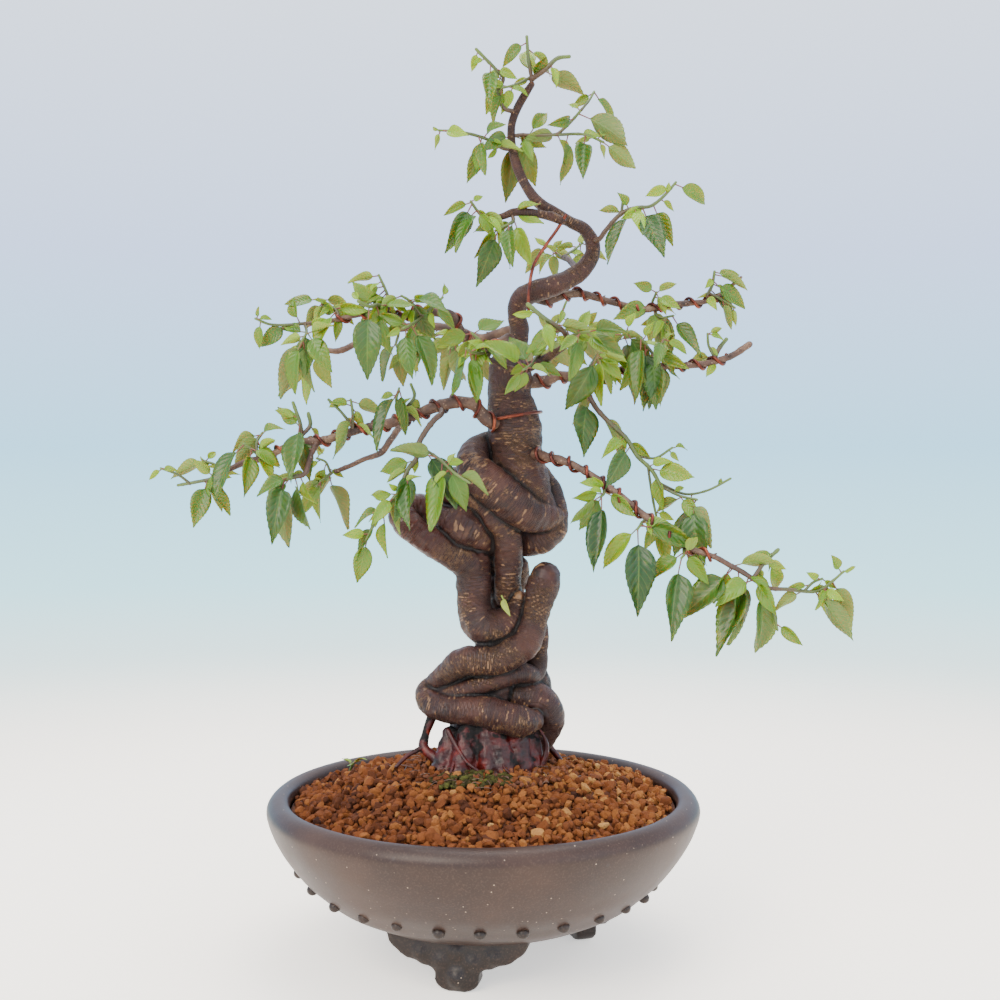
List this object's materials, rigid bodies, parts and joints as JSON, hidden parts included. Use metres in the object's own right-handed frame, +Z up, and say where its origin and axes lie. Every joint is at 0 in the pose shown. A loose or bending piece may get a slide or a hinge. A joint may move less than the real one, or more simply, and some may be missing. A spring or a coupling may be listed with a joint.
{
  "type": "bonsai tree in a pot",
  "caption": "Old coiled bonsai tree with wired branches and serrate leaves, in granular soil in a round unglazed pot on cloud-shaped feet.",
  "frame": {"origin": "middle of the underside of the whole object's box, on the surface that the pot's feet stand on", "axes": "+Z up along the tree's height; the side seen from the front faces -Y, with +X to its right"},
  "size_m": [0.3984, 0.26, 0.5492],
  "materials": {
    "unglazed_clay": "unglazed, matt with a slight sheen on the rim",
    "screen_plastic": "matt",
    "soil_granules": "dry, dusty granules",
    "old_bark": "rough bark with pale marks",
    "branch_bark": "smooth young bark",
    "green_leaf": "satin leaf",
    "copper_wire": "annealed copper",
    "moss": "soft and matt",
    "dry_leaf": "dry and papery"
  },
  "bodies": {
    "root": {"branch_cascade": "branch_bark", "branch_left_lower": "branch_bark", "branch_left_middle": "branch_bark", "branch_left_upper": "branch_bark", "branch_right_middle": "branch_bark", "branch_right_upper": "branch_bark", "drain_screen": "screen_plastic", "fallen_leaf": "dry_leaf", "moss": "moss", "pot": "unglazed_clay", "seedling": "green_leaf", "shoot_apex_crown": "green_leaf", "shoot_apex_left": "green_leaf", "shoot_apex_right": "green_leaf", "shoot_apex_top": "green_leaf", "shoot_back_low_left": "green_leaf", "shoot_back_low_right": "green_leaf", "shoot_cascade_dark": "green_leaf", "shoot_cascade_leafy": "green_leaf", "shoot_cascade_middle": "green_leaf", "shoot_cascade_tip": "green_leaf", "shoot_center_fork": "green_leaf", "shoot_center_front": "green_leaf", "shoot_center_left": "green_leaf", "shoot_center_left_front": "green_leaf", "shoot_center_right": "green_leaf", "shoot_crown_back": "green_leaf", "shoot_crown_left": "green_leaf", "shoot_crown_left_inner": "green_leaf", "shoot_crown_right": "green_leaf", "shoot_left_hanging": "green_leaf", "shoot_left_inner": "green_leaf", "shoot_left_lower_middle": "green_leaf", "shoot_left_lower_outer": "green_leaf", "shoot_left_lower_root": "green_leaf", "shoot_left_lower_tip": "green_leaf", "shoot_left_lower_top": "green_leaf", "shoot_left_lower_under": "green_leaf", "shoot_left_mid_end": "green_leaf", "shoot_left_mid_under": "green_leaf", "shoot_left_upper_end": "green_leaf", "shoot_left_upper_inner": "green_leaf", "shoot_left_upper_mid": "green_leaf", "shoot_left_upper_top": "green_leaf", "shoot_right_hanging": "green_leaf", "shoot_right_mid_inner": "green_leaf", "shoot_right_mid_outer": "green_leaf", "shoot_right_mid_tip": "green_leaf", "shoot_right_upper_mid": "green_leaf", "shoot_right_upper_tip": "green_leaf", "shoot_right_upper_under": "green_leaf", "soil_bed": "soil_granules", "trunk": "old_bark", "wire_cascade": "copper_wire", "wire_guy": "copper_wire", "wire_left_lower": "copper_wire", "wire_left_upper": "copper_wire", "wire_right_middle": "copper_wire", "wire_right_upper": "copper_wire", "wire_trunk_tie": "copper_wire"}
  },
  "joints": []
}
